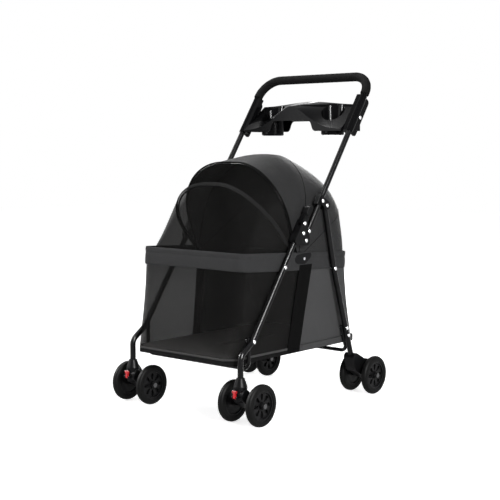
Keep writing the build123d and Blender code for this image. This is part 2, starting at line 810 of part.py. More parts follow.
with BuildPart() as floor_board:
    with BuildSketch(Plane.XY.offset(floor_bottom_z)):
        floor_outline()
    extrude(amount=board_thickness)
    for saddle_x in (-floor_saddle_x, floor_saddle_x):
        with Locations((saddle_x, knee_y, floor_bottom_z)):
            Box(
                floor_saddle_width, floor_saddle_depth, floor_bottom_z - front_cross_z,
                align=(Align.CENTER, Align.CENTER, Align.MAX),
            )
    for rib_x in (-floor_half_width / 2, 0, floor_half_width / 2):
        with Locations((rib_x, floor_middle_y + floor_saddle_depth, floor_bottom_z)):
            Box(
                floor_rib_width, floor_length / 2, floor_rib_height,
                align=(Align.CENTER, Align.CENTER, Align.MAX),
            )
    with Locations(across(knee_y, front_cross_z)):
        Cylinder(cross_tube_radius + fit_gap, 2 * floor_half_width, mode=Mode.SUBTRACT)
write(floor_board.part, "floor_board")

# Mat: a thinner edge that carries the walls round a raised pad
with BuildPart() as floor_mat:
    with BuildSketch(Plane.XY.offset(board_top_z)):
        floor_outline()
    extrude(amount=mat_edge_thickness)
    fillet(floor_mat.faces().sort_by(Axis.Z)[-1].edges(), wall_inset / 2)
    with BuildSketch(Plane.XY.offset(board_top_z)):
        floor_outline(wall_inset + wall_thickness + mat_margin)
    extrude(amount=mat_thickness)
write(floor_mat.part, "floor_mat")

# Rim planes: the band's top edge falls gently to the rear
band_slope = atan2(band_front_z - band_rear_z, band_rear_y - band_front_y)
band_middle = (0, (band_front_y + band_rear_y) / 2, (band_front_z + band_rear_z) / 2)
rim_plane = Plane(origin=band_middle, x_dir=(1, 0, 0), z_dir=(0, sin(band_slope), cos(band_slope)))
band_length = hypot(band_rear_y - band_front_y, band_front_z - band_rear_z)
side_pins = [front_rail, rear_rail, (canopy_pivot_y, canopy_pivot_z)]


def rim_outline(inset):
    """Rounded outline of the rim, inset from the band's outer face."""
    RectangleRounded(2 * (basket_half_width - inset), band_length - 2 * inset, band_corner - inset)


def rim_ring(drop, height, inset, thickness):
    """A ring of fabric or strip round the rim."""
    with BuildPart() as ring:
        with BuildSketch(rim_plane.offset(-drop)):
            rim_outline(inset)
        extrude(amount=-height)
        with BuildSketch(rim_plane.offset(-drop)):
            rim_outline(inset + thickness)
        extrude(amount=-height, mode=Mode.SUBTRACT)
        for place in side_pins:
            with Locations(across(*place)):
                Cylinder(head_radius + side_gap, 2 * track, mode=Mode.SUBTRACT)
    return ring.part


write(rim_ring(0, band_height, 0, band_thickness), "rim_band")
write(rim_ring(strip_drop, strip_height, band_thickness + fit_gap, strip_thickness), "rim_strip")

# Basket wall: ruled from the floor's edge up to the band, then parted into mesh and cloth
wall_plane = rim_plane.offset(-band_height - seat_gap)
wall_base = Plane((0, floor_middle_y, floor_edge_z + seat_gap))
with BuildPart() as basket_wall:
    for inset in (0, wall_thickness):
        foot_inset = wall_inset + inset
        with BuildSketch(wall_base):
            RectangleRounded(
                2 * (floor_half_width - foot_inset), floor_length - 2 * foot_inset, band_corner - foot_inset,
            )
        with BuildSketch(wall_plane):
            rim_outline(inset)
        loft(ruled=True, mode=Mode.SUBTRACT if inset else Mode.ADD)
    with Locations(across(*rear_rail)):
        Cylinder(head_radius + side_gap, 2 * track, mode=Mode.SUBTRACT)
webbing_top_z = wall_plane.origin.Z + (wall_plane.origin.Y - webbing_top_y) * tan(band_slope)
webbing_lean = atan2(webbing_top_y - webbing_foot_y, webbing_top_z - floor_edge_z)
seam_normal = (0, -cos(webbing_lean), sin(webbing_lean))
seam_plane = Plane(origin=(0, webbing_foot_y, floor_edge_z), x_dir=(1, 0, 0), z_dir=seam_normal)
for name, keep, gap in (("mesh_wall", Keep.TOP, seat_gap), ("cloth_wall", Keep.BOTTOM, 0)):
    with BuildPart() as wall_half:
        add(basket_wall.part)
        split(bisect_by=seam_plane.offset(gap), keep=keep)
    write(wall_half.part, name)

# Webbing straps over the seams between mesh and cloth, from the floor up to the band
with BuildPart() as side_webbing:
    strap_x = basket_half_width + seat_gap + webbing_thickness / 2
    foot_x = floor_half_width - wall_inset + seat_gap + webbing_thickness / 2
    for x, y, z in ((foot_x, webbing_foot_y, floor_edge_z), (strap_x, webbing_top_y, webbing_top_z)):
        with BuildSketch(Plane.XY.offset(z)):
            with Locations((x, y)):
                Rectangle(webbing_thickness, webbing_width)
    loft(ruled=True)
    mirror(about=Plane.YZ)
write(side_webbing.part, "side_webbing")


def fan_plane(lean_deg):
    """A plane through the canopy's pivot line: X across, local Y up the arch."""
    tilt = radians(lean_deg)
    return Plane(
        origin=(0, canopy_pivot_y, canopy_pivot_z), x_dir=(1, 0, 0), z_dir=(0, -cos(tilt), sin(tilt)),
    )


def arch(lean_deg, height, shoulder, half_width, start):
    """A closed arch outline in its fan plane, rounded at both shoulders."""
    with BuildSketch(fan_plane(lean_deg)) as outline:
        with Locations((0, start)):
            Rectangle(2 * half_width, height - start, align=(Align.CENTER, Align.MIN))
        fillet(vertices().group_by(Axis.Y)[-1], shoulder)
    return outline.sketch


def cloth_shell(arches, half_width, ruled):
    """A thin hood between arches, open underneath."""
    with BuildPart() as shell:
        for inset in (0, cloth):
            outlines = [
                arch(lean_deg, height - inset, shoulder - inset, half_width - inset, arch_start - 4 * inset)
                for lean_deg, height, shoulder in arches
            ]
            loft(outlines, ruled=ruled, mode=Mode.SUBTRACT if inset else Mode.ADD)
    return shell.part


rim_reach_front = canopy_pivot_y - band_front_y - band_thickness - strip_thickness - side_gap
rim_reach_rear = band_rear_y - canopy_pivot_y - band_thickness - strip_thickness - canopy_tuck
hood_half_width = canopy_half_width - cloth - face_gap
hood_drop = cloth + face_gap

# Rear canopy of closed cloth
canopy_arches = [
    (rear_arch_lean, rear_arch_height, arch_shoulder),
    (crown_lean, crown_height, arch_shoulder),
    (back_lean, back_height, back_shoulder),
    (rim_rear_lean, rim_reach_rear, rim_shoulder),
]
write(cloth_shell(canopy_arches, canopy_half_width, False), "canopy")

# Front hood of mesh, which swings back under the canopy
hood_arches = [
    (rear_arch_lean, rear_arch_height - hood_drop, arch_shoulder - hood_drop),
    (front_arch_lean, front_arch_height, arch_shoulder - hood_drop),
    (rim_front_lean, rim_reach_front, rim_shoulder),
]
write(cloth_shell(hood_arches, hood_half_width, True), "hood_mesh")


def hoop(lean_deg, height, shoulder, half_width):
    """A bent wire arch with an eye round the pivot pin at both ends."""
    plane = fan_plane(lean_deg)
    corners = [
        plane.from_local_coords((x, y, 0))
        for x, y in (
            (-half_width, hoop_eye_radius - hoop_radius), (-half_width, height),
            (half_width, height), (half_width, hoop_eye_radius - hoop_radius),
        )
    ]
    arch_wire = tube(corners, hoop_radius, shoulder, hollow=False)
    with BuildPart() as wire:
        add(arch_wire)
        for x in (-half_width, half_width):
            with Locations(across(canopy_pivot_y, canopy_pivot_z, x)):
                Cylinder(hoop_eye_radius, hoop_eye_thickness)
                Cylinder(canopy_pin_radius + fit_gap, 2 * hoop_radius, mode=Mode.SUBTRACT)
    return wire.part


rear_hoop_x = hood_half_width - cloth - face_gap - hoop_radius
front_hoop_x = rear_hoop_x - 2 * hoop_radius - face_gap
wire_drop = cloth + hoop_gap + hoop_radius
hoop_shoulder = arch_shoulder - hood_drop - wire_drop
write(hoop(rear_arch_lean, rear_arch_height - hood_drop - wire_drop, hoop_shoulder, rear_hoop_x), "rear_hoop")
write(hoop(front_arch_lean, front_arch_height - wire_drop, hoop_shoulder, front_hoop_x), "front_hoop")

# Canopy pivots: flat moulded plates outside the band with a pin through both hoop eyes
with BuildPart() as canopy_pivots:
    pin_inner_x = front_hoop_x - hoop_radius - face_gap
    knob_x = basket_half_width + seat_gap
    with Locations(across(canopy_pivot_y, canopy_pivot_z, pin_inner_x)):
        Cylinder(canopy_pin_radius, knob_x - pin_inner_x, align=(Align.CENTER, Align.CENTER, Align.MIN))
        Cylinder(hoop_eye_radius, plate, align=(Align.CENTER, Align.CENTER, Align.MAX))
    with BuildSketch(across(canopy_pivot_y, canopy_pivot_z, knob_x)):
        Circle(canopy_knob_radius)
        with Locations((knob_middle_back, 0)):
            Circle(knob_middle_radius)
        with Locations((knob_tab_back, knob_tab_up)):
            Circle(knob_tab_radius)
        make_hull()
    extrude(amount=canopy_knob_thickness)
    fillet(canopy_pivots.faces().sort_by(Axis.X)[-1].edges(), canopy_knob_thickness / 2)
    mirror(about=Plane.YZ)
write(canopy_pivots.part, "canopy_pivots")
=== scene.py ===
import json
import math

import bpy
import numpy as np
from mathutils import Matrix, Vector


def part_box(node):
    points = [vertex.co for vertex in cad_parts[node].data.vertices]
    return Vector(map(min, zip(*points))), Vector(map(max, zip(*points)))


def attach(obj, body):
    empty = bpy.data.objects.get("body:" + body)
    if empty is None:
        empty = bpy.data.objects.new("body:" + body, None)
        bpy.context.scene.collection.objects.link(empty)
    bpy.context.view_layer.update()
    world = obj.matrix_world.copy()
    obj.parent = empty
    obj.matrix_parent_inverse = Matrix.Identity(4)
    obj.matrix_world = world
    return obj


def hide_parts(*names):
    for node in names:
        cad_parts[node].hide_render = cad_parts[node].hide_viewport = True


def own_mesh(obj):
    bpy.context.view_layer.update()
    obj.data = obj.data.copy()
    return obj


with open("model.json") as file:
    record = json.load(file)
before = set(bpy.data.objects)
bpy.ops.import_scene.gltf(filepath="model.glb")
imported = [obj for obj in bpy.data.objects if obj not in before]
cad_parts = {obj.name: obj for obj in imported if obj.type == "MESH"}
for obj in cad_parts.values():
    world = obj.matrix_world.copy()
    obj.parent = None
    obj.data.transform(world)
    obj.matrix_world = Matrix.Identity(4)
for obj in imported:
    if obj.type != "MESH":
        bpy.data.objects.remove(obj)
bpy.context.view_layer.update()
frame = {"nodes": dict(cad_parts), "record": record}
scene = bpy.context.scene
scene.view_settings.view_transform = "Standard"
MM = 0.001
SIDES = ((-1, "left"), (1, "right"))

# Sizes in millimetres and leans in degrees: places shared with the solids, and the soft pieces' own forms
LEG_X = 206.0
LEAN = math.radians(34.7)
FOLD_PIVOT = np.array([-25.4, 476.8])
HANDLE_HEIGHT = 947.0
HANDLE_BEND = 62.0
GRIP_START = 503.0
GRIP_RADIUS = 13.4
GRIP_ROUND = (4.8, 0.8)  # depth and length of the rounded ends
GRIP_RIPPLE = (0.10, 3.0)  # height and length
CANOPY_PIVOT = np.array([-38.0, 424.0])
CANOPY_HALF = 192.3
HOOD_HALF = 187.8
ARCH_START = 18.0
REAR_ARCH = (-12.0, 273.0, 165.0)  # lean, height and shoulder
FRONT_ARCH = (-31.3, 246.0, 168.0)
RIM_FRONT = (-85.0, 227.4, 56.0)
RIM_HALF = 181.5
HOOD_DROP = 4.7
CANOPY_LEANS = (-12.0, 23.2, 47.4, 68.6, 91.5)
CANOPY_HEIGHTS = (273.0, 314.0, 304.0, 273.0, 238.6)
CANOPY_SHOULDERS = (165.0, 184.0, 110.0, 80.0, 36.0)
SEAM_LEANS = (-12.0, 23.2, 60.0, 91.5)
SEAM_SLACK = (12.0, 3.0, 3.0)
CANOPY_ROWS = 72
CANOPY_THICKNESS = 1.2
HOOD_SPANS = ((12, 2.5), (26, 5.5))  # rows and slack from hoop to hoop, and from the front hoop to the rim
BOW_LEANS = (-85.0, -31.3, -12.0, 23.2, 60.0, 91.5)
BOW = (0.0, 30.0, 20.0, 26.0, 0.0, 0.0)
HOOP_RADIUS = 2.5
REAR_HOOP_RADIUS = 1.2
REAR_HOOP_DROP = 1.3
FRONT_HOOP_DROP = 6.3
FRONT_HOOP_HALF = 180.1
BAND_HALF = 196.0
BAND_FRONT = (-268.5, 455.0)  # Y and Z
BAND_REAR = (209.5, 431.0)
BAND_HEIGHT = 50.0
BAND_CORNER = 36.0
BAND_WAVES = ((0.5, 61.0, 9.0), (0.35, 23.0, -5.0))  # size, and lengths round and down the band
BAND_WAVE_SHARE = 0.5
BAND_SAG = (0.9, 97.0)  # size, and length round the band
BAND_SAG_START = 45.0
WALL_INSET = 2.0
WALL_DEPTH = 3.6  # from the band's face in to the wall's top
WALL_TUCK = 12.0  # from the band's lower edge up to the wall's top
WALL_SLACK = 2.5
WALL_ROWS = 30
WALL_RIPPLE = (0.42, 47.0, 5.0)  # size, and turns across and up the wall in radians
WALL_THICKNESS = 0.8
FOOT_GAP = 0.2
STRAP_FOOT_Y = -40.0
STRAP_SLOPE = 0.16
STRAP_WIDTH = 56.0
STRAP_TOP_Z = 407.0
STRAP_ROWS = 60
STRAP_THICKNESS = 0.5
SKIRT_ROWS = 8
SKIRT_GAP = 0.5
SKIRT_THICKNESS = 0.6
BOARD_THICKNESS = 11.0
MAT_EDGE = 6.0
MAT_LIP_ROWS = 7
KNOB_RIVET = (-10.0, 424.0)  # Y and Z
KNOB_FACE_X = 197.6
RIVET_RINGS = ((4.2, -0.05), (3.8, 0.11), (2.6, 0.20), (1.2, 0.24))  # radius, and height over the knob's face
RIVET_SIDES = 24
FLOOR_CORNER = 24.0
WEB_FACE = 3.4
BOSS_RADIUS = 11.0
HUB_RIM = 5.0
SHIELD_SIDES = 48
SHIELD_THICKNESS = 0.6
mat_low, mat_high = (np.array(c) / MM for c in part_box("floor_mat"))
FLOOR_HALF = mat_high[0]
FLOOR_BOTTOM = mat_low[2] - BOARD_THICKNESS


def node_adder(tree):
    """A small helper that adds nodes to a tree with their inputs and settings."""

    def add(kind, inputs=None, **settings):
        node = tree.nodes.new(kind)
        for key, value in settings.items():
            setattr(node, key, value)
        for key, value in (inputs or {}).items():
            if isinstance(value, bpy.types.NodeSocket):
                tree.links.new(value, node.inputs[key])
            else:
                node.inputs[key].default_value = value
        return node

    return add, tree.links


def node_tree(name):
    """A new material with its shader node and a helper to add nodes."""
    material = bpy.data.materials.new(name)
    material.use_nodes = True
    return material, material.node_tree.nodes["Principled BSDF"], *node_adder(material.node_tree)


def mix_colors(add, factor, a, b):
    """Two colours mixed by a factor; each of the three is a value or a socket."""
    node = add("ShaderNodeMix", data_type="RGBA")
    links = node.id_data.links
    for socket, value in ((node.inputs[0], factor), (node.inputs[6], a), (node.inputs[7], b)):
        if isinstance(value, bpy.types.NodeSocket):
            links.new(value, socket)
        else:
            socket.default_value = value
    return node.outputs[2]


def shades(color, spread):
    """A darker and a lighter shade of a colour."""
    return [(*[c * (1 + side * spread) for c in color], 1.0) for side in (-1, 1)]


def rigid_material(name, color, rough, bump, scale, metallic=0.0, specular=0.5, spread=0.12):
    """Paint, plastic, rubber or plated metal with fine grain in the part's own coordinates."""
    material, shader, add, links = node_tree(name)
    coords = add("ShaderNodeTexCoord").outputs["Object"]
    noise = add("ShaderNodeTexNoise", {"Vector": coords, "Scale": scale, "Detail": 4.0, "Roughness": 0.6})
    large = add("ShaderNodeTexNoise", {"Vector": coords, "Scale": scale / 30, "Detail": 3.0})
    dark, light = shades(color, spread)
    links.new(mix_colors(add, large.outputs["Fac"], dark, light), shader.inputs["Base Color"])
    wear = add(
        "ShaderNodeMapRange", {"Value": large.outputs["Fac"], "To Min": rough * 0.8, "To Max": min(1.0, rough * 1.25)},
    )
    links.new(wear.outputs["Result"], shader.inputs["Roughness"])
    lift = add("ShaderNodeBump", {"Height": noise.outputs["Fac"], "Strength": bump, "Distance": 0.0004})
    links.new(lift.outputs["Normal"], shader.inputs["Normal"])
    shader.inputs["Metallic"].default_value = metallic
    shader.inputs["Specular IOR Level"].default_value = specular
    return material


def weave_waves(add, pitch_u, pitch_v):
    """The cloth's own flat coordinates in metres, and two sets of threads across them."""
    uv = add("ShaderNodeUVMap", uv_map="flat").outputs["UV"]
    parts = add("ShaderNodeSeparateXYZ", {"Vector": uv})
    waves = []
    for axis, pitch in (("X", pitch_u), ("Y", pitch_v)):
        turns = add("ShaderNodeMath", {0: parts.outputs[axis], 1: 2 * math.pi / pitch}, operation="MULTIPLY")
        waves.append(add("ShaderNodeMath", {0: turns.outputs[0]}, operation="SINE").outputs[0])
    return uv, waves


def cloth_material(name, color, pitch=0.0012, rough=0.82, bump=0.35, sheen=0.08, spread=0.16, folds=0.25):
    """Woven cloth: crossing threads, uneven dye and soft creases."""
    material, shader, add, links = node_tree(name)
    _, (u_wave, v_wave) = weave_waves(add, pitch, pitch)
    crossing = add("ShaderNodeMath", {0: u_wave, 1: v_wave}, operation="MULTIPLY").outputs[0]
    coords = add("ShaderNodeTexCoord").outputs["Object"]
    large = add("ShaderNodeTexNoise", {"Vector": coords, "Scale": 9.0, "Detail": 4.0, "Roughness": 0.55})
    fibre = add("ShaderNodeTexNoise", {"Vector": coords, "Scale": 700.0, "Detail": 3.0})
    dye = add("ShaderNodeMath", {0: large.outputs["Fac"], 1: fibre.outputs["Fac"]}, operation="MULTIPLY_ADD")
    dye.inputs[2].default_value = 0.25
    dark, light = shades(color, spread)
    links.new(mix_colors(add, dye.outputs[0], dark, light), shader.inputs["Base Color"])
    crease = add("ShaderNodeTexNoise", {"Vector": coords, "Scale": 22.0, "Detail": 3.0, "Distortion": 0.6})
    soft = add("ShaderNodeBump", {"Height": crease.outputs["Fac"], "Strength": folds, "Distance": 0.006})
    lift = add(
        "ShaderNodeBump",
        {"Height": crossing, "Strength": bump, "Distance": 0.0003, "Normal": soft.outputs["Normal"]},
    )
    links.new(lift.outputs["Normal"], shader.inputs["Normal"])
    wear = add("ShaderNodeMapRange", {"Value": large.outputs["Fac"], "To Min": rough * 0.9, "To Max": rough * 1.1})
    links.new(wear.outputs["Result"], shader.inputs["Roughness"])
    shader.inputs["Sheen Weight"].default_value = sheen
    shader.inputs["Sheen Roughness"].default_value = 0.4
    shader.inputs["Specular IOR Level"].default_value = 0.03
    return material


def net_material(name, color, pitch=0.0019, hole=0.34, side_hole=0.92, thread=0.94, panel=(0.17, 0.21)):
    """See-through net: threads with small openings, which are closer on the sides than on the middle panel."""
    material, shader, add, links = node_tree(name)
    uv, (u_wave, v_wave) = weave_waves(add, pitch, pitch * 1.2)
    opening = add("ShaderNodeMath", {0: u_wave, 1: v_wave}, operation="MULTIPLY").outputs[0]
    across = add("ShaderNodeSeparateXYZ", {"Vector": uv}).outputs["Y"]
    from_middle = add("ShaderNodeMath", {0: across}, operation="ABSOLUTE").outputs[0]
    hole_cover = add(
        "ShaderNodeMapRange",
        {"Value": from_middle, "From Min": panel[0], "From Max": panel[1], "To Min": hole, "To Max": side_hole},
        interpolation_type="SMOOTHSTEP",
    )
    coords = add("ShaderNodeTexCoord").outputs["Object"]
    large = add("ShaderNodeTexNoise", {"Vector": coords, "Scale": 14.0, "Detail": 3.0})
    cover = add(
        "ShaderNodeMapRange",
        {
            "Value": opening, "From Min": -1.0, "From Max": 1.0, "To Min": thread,
            "To Max": hole_cover.outputs["Result"],
        },
        interpolation_type="SMOOTHSTEP",
    )
    links.new(cover.outputs["Result"], shader.inputs["Alpha"])
    dark, light = shades(color, 0.25)
    links.new(mix_colors(add, large.outputs["Fac"], dark, light), shader.inputs["Base Color"])
    lift = add("ShaderNodeBump", {"Height": cover.outputs["Result"], "Strength": 0.4, "Distance": 0.0004})
    links.new(lift.outputs["Normal"], shader.inputs["Normal"])
    shader.inputs["Roughness"].default_value = 0.65
    shader.inputs["Specular IOR Level"].default_value = 0.0
    return material


def ribbed_material(name, color, pitch=0.0022, rough=0.7):
    """Narrow webbing or binding with ribs across its length."""
    material, shader, add, links = node_tree(name)
    _, (u_wave, v_wave) = weave_waves(add, pitch, pitch * 0.8)
    coords = add("ShaderNodeTexCoord").outputs["Object"]
    fibre = add("ShaderNodeTexNoise", {"Vector": coords, "Scale": 600.0, "Detail": 3.0})
    dark, light = shades(color, 0.3)
    links.new(mix_colors(add, fibre.outputs["Fac"], dark, light), shader.inputs["Base Color"])
    rib = add("ShaderNodeMath", {0: u_wave, 1: v_wave}, operation="ADD").outputs[0]
    lift = add("ShaderNodeBump", {"Height": rib, "Strength": 0.5, "Distance": 0.0005})
    links.new(lift.outputs["Normal"], shader.inputs["Normal"])
    shader.inputs["Roughness"].default_value = rough
    shader.inputs["Specular IOR Level"].default_value = 0.01
    return material


PAINT = rigid_material("black_paint", (0.004, 0.004, 0.0045), 0.22, 0.05, 500.0, specular=0.1)
NYLON = rigid_material("black_nylon", (0.005, 0.005, 0.0055), 0.34, 0.22, 1500.0, specular=0.05)
PLATED = rigid_material("bright_zinc", (0.62, 0.62, 0.63), 0.2, 0.04, 1200.0, metallic=1.0, spread=0.08)
BLACK_ZINC = rigid_material("black_zinc", (0.07, 0.07, 0.072), 0.25, 0.06, 1200.0, metallic=1.0)
FOAM = rigid_material("black_foam", (0.006, 0.006, 0.006), 0.85, 0.6, 1400.0, specular=0.02)
GLOSS = rigid_material("gloss_moulding", (0.004, 0.004, 0.0045), 0.12, 0.02, 300.0, specular=0.035)
RED = rigid_material("red_moulding", (0.55, 0.012, 0.018), 0.3, 0.05, 900.0, specular=0.3)
TYRE = rigid_material("tyre_rubber", (0.006, 0.006, 0.006), 0.5, 0.25, 1300.0, specular=0.04)
HUB = rigid_material("hub_moulding", (0.009, 0.009, 0.0095), 0.34, 0.12, 900.0, specular=0.06)
BOARD = rigid_material("black_sheet", (0.005, 0.005, 0.005), 0.55, 0.3, 1100.0, specular=0.03)
CLOTH = cloth_material("grey_cloth", (0.060, 0.060, 0.061))
# The canopy is a darker copy of the grey wall cloth: painted shade, standing in for the shade that falls on the
# canopy's top
CANOPY_SHADED_CLOTH = cloth_material("canopy_shaded_cloth", (0.025, 0.025, 0.0255), rough=0.45)
BAND = cloth_material("band_cloth", (0.033, 0.033, 0.034), folds=0.45)
# The mat's top and its lip are one cloth: the top is painted much lighter, painted light that stands in for the light
# the net and canopy keep off the floor
MAT_PAINTED_LIGHT = cloth_material("mat_cloth_painted_light", (0.26, 0.25, 0.245), pitch=0.0016, folds=0.15)
MAT_LIP_CLOTH = cloth_material("mat_lip_cloth", (0.06, 0.059, 0.059), pitch=0.0016, folds=0.15)
NET = net_material("black_net", (0.013, 0.0128, 0.0126))
BINDING = ribbed_material("black_binding", (0.005, 0.005, 0.005))
# The tape over the front hoop is black binding painted lighter: painted light, standing in for the light that falls on
# the hoop's top
HEM_PAINTED_LIGHT = ribbed_material("hem_tape_painted_light", (0.018, 0.018, 0.018), pitch=0.0018)
WEBBING = ribbed_material("black_webbing", (0.0045, 0.0045, 0.0045), pitch=0.0026)

NODE_MATERIALS = {
    "frame_tube": PAINT, "bracket": NYLON, "rivet": PLATED, "foam": FOAM, "tray": GLOSS, "red": RED, "mesh": NET,
    "cloth": CLOTH, "webbing": WEBBING, "strip": BOARD, "mat": MAT_PAINTED_LIGHT, "tyre": TYRE, "hub": HUB,
}
for part in frame["record"]["subparts"]:
    mesh = frame["nodes"][part["node"]].data
    mesh.materials.clear()
    mesh.materials.append(BLACK_ZINC if "axle" in part["node"] else NODE_MATERIALS[part["material_slot"]])


def run_length(points):
    """The distance along a line of points, from its start."""
    return np.concatenate([[0], np.cumsum(np.linalg.norm(np.diff(points, axis=0), axis=1))])


def unit(vectors):
    """Rows of vectors, each brought to length 1."""
    return vectors / np.maximum(np.linalg.norm(vectors, axis=1)[:, None], 1e-6)


def circle(sides):
    """Angles of points evenly round a circle."""
    return np.linspace(0, 2 * math.pi, sides, endpoint=False)


def piece(name, points, faces, material, flat=None):
    """A mesh object from points in millimetres, with flat cloth coordinates if given."""
    mesh = bpy.data.meshes.new(name)
    mesh.from_pydata([tuple(p) for p in np.asarray(points, float) * MM], [], faces)
    if flat is not None:
        layer = mesh.uv_layers.new(name="flat")
        index = np.zeros(len(mesh.loops), np.int32)
        mesh.loops.foreach_get("vertex_index", index)
        layer.data.foreach_set("uv", (np.asarray(flat, float)[index] * MM).ravel())
    mesh.shade_smooth()
    mesh.materials.append(material)
    obj = bpy.data.objects.new(name, mesh)
    scene.collection.objects.link(obj)
    return obj


def grid_piece(name, grid, material, closed=False, capped=False):
    """A sheet through a grid of points; closed joins the last row to the first, capped fills the last column."""
    grid = np.asarray(grid, float)
    if closed:
        grid = np.concatenate([grid, grid[:1]])
    rows, columns = grid.shape[:2]
    along = np.concatenate([[0], np.cumsum(np.linalg.norm(np.diff(grid, axis=0), axis=2).mean(axis=1))])
    across = np.concatenate([[0], np.cumsum(np.linalg.norm(np.diff(grid, axis=1), axis=2).mean(axis=0))])
    flat = np.stack(np.meshgrid(along, across - across[-1] / 2, indexing="ij"), axis=2)
    faces = [
        (r * columns + c, r * columns + c + 1, (r + 1) * columns + c + 1, (r + 1) * columns + c)
        for r in range(rows - 1) for c in range(columns - 1)
    ]
    if capped:
        faces.append(tuple(r * columns + columns - 1 for r in range(rows - 1)))
    obj = piece(name, grid.reshape(-1, 3), faces, material, flat.reshape(-1, 2))
    if closed:
        weld = obj.modifiers.new("weld", "WELD")
        weld.merge_threshold = 0.00001
    return obj


def thicken(obj, thickness, offset=-1.0):
    """The sheet with a thickness in millimetres."""
    solid = obj.modifiers.new("thickness", "SOLIDIFY")
    solid.thickness = thickness * MM
    solid.offset = offset
    return obj


def tube_piece(name, path, radius, material, sides=12):
    """A round tube along a line of points, closed at both ends."""
    path = np.asarray(path, float)
    count = len(path)
    tangent = unit(np.gradient(path, axis=0))
    radii = np.broadcast_to(np.asarray(radius, float), (count,))
    turn = circle(sides)
    normal = np.cross(tangent[0], (0.3, 0.5, 0.8))
    rings = []
    for centre, along, size in zip(path, tangent, radii):
        normal = normal - along * (normal @ along)
        normal /= np.linalg.norm(normal)
        side = np.cross(along, normal)
        rings.append(centre + size * (np.cos(turn)[:, None] * normal + np.sin(turn)[:, None] * side))
    faces = [
        (r * sides + c, r * sides + (c + 1) % sides, (r + 1) * sides + (c + 1) % sides, (r + 1) * sides + c)
        for r in range(count - 1) for c in range(sides)
    ]
    faces.append(tuple(reversed(range(sides))))
    faces.append(tuple((count - 1) * sides + c for c in range(sides)))
    girth = np.linspace(0, 2 * math.pi * radii.mean(), sides, endpoint=False)
    flat = np.stack(np.meshgrid(run_length(path), girth, indexing="ij"), axis=2).reshape(-1, 2)
    return piece(name, np.concatenate(rings), faces, material, flat)


def smooth_curve(knots, values, at):
    """A smooth line through values at knots."""
    knots, values, at = (np.asarray(v, float) for v in (knots, values, at))
    slope = np.gradient(values, knots)
    i = np.clip(np.searchsorted(knots, at) - 1, 0, len(knots) - 2)
    span = knots[i + 1] - knots[i]
    t = (at - knots[i]) / span
    return (
        (2 * t**3 - 3 * t**2 + 1) * values[i] + (t**3 - 2 * t**2 + t) * span * slope[i]
        + (3 * t**2 - 2 * t**3) * values[i + 1] + (t**3 - t**2) * span * slope[i + 1]
    )


def arch_line(height, shoulder, half, start=ARCH_START, counts=(8, 18, 12)):
    """An arch in its own plane, from one foot over the top to the other."""
    rise = [(-half, y) for y in np.linspace(start, height - shoulder, counts[0], endpoint=False)]
    turn = np.linspace(0, math.pi / 2, counts[1], endpoint=False)
    curve = [(-half + shoulder * (1 - math.cos(a)), height - shoulder * (1 - math.sin(a))) for a in turn]
    top = [(x, height) for x in np.linspace(-half + shoulder, 0, counts[2])]
    line = rise + curve + top
    return np.array(line + [(-x, y) for x, y in reversed(line[:-1])])


def fan(line, lean_deg):
    """Points of an arch set through the canopy's pivot line, its flanks bowed a little to the front."""
    lean = math.radians(lean_deg)
    along = run_length(line)
    climb = 1 - np.abs(2 * along / along[-1] - 1)
    bow = np.interp(lean_deg, BOW_LEANS, BOW) * (0.9 * np.sin(math.pi * climb) + 0.25 * climb)
    return np.stack(
        [
            line[:, 0],
            CANOPY_PIVOT[0] + line[:, 1] * math.sin(lean) - bow,
            CANOPY_PIVOT[1] + line[:, 1] * math.cos(lean),
        ],
        axis=1,
    )


def crown(line):
    """1 along the top of an arch, falling to 0 at its feet."""
    rise = (line[:, 1] - line[0, 1]) / max(line[:, 1].max() - line[0, 1], 1e-6)
    return np.clip(rise, 0, 1) ** 1.5


def canopy_line(lean, lift=0.0):
    """The canopy's arch at a lean, a little slack between its seams."""
    height = float(smooth_curve(CANOPY_LEANS, CANOPY_HEIGHTS, lean))
    shoulder = min(float(smooth_curve(CANOPY_LEANS, CANOPY_SHOULDERS, lean)), max(CANOPY_SHOULDERS))
    line = arch_line(height + lift, shoulder + lift, CANOPY_HALF + lift)
    for start, end, slack in zip(SEAM_LEANS, SEAM_LEANS[1:], SEAM_SLACK):
        if start < lean < end:
            line[:, 1] -= slack * math.sin(math.pi * (lean - start) / (end - start)) * crown(line)
    return line


# Rear canopy: one curved sheet of cloth over the hoops
canopy_leans = np.linspace(CANOPY_LEANS[0], CANOPY_LEANS[-1], CANOPY_ROWS)
canopy_rows = [fan(canopy_line(lean), lean) for lean in canopy_leans]
canopy = thicken(grid_piece("canopy_shaded_cloth", canopy_rows, CANOPY_SHADED_CLOTH), CANOPY_THICKNESS, 1.0)

# Front hood: net from the rear hoop over the front hoop and down to the rim
sections = [fan(arch_line(h, s, half), lean) for lean, h, s, half in (
    (REAR_ARCH[0], REAR_ARCH[1] - HOOD_DROP, REAR_ARCH[2] - HOOD_DROP, HOOD_HALF),
    (*FRONT_ARCH, HOOD_HALF), (*RIM_FRONT, RIM_HALF),
)]
hood_rows = []
hood_weight = np.sqrt(crown(arch_line(FRONT_ARCH[1], FRONT_ARCH[2], HOOD_HALF)))[:, None]
for first, second, (steps, slack) in zip(sections, sections[1:], HOOD_SPANS):
    inward = (np.array([0.0, *CANOPY_PIVOT]) - (first + second) / 2) * (0, 1, 1)
    inward = unit(inward) * hood_weight * slack
    for t in np.linspace(0, 1, steps, endpoint=second is sections[2]):
        hood_rows.append(first + (second - first) * t + inward * math.sin(math.pi * t**1.5))
hood = grid_piece("hood_net", hood_rows, NET)

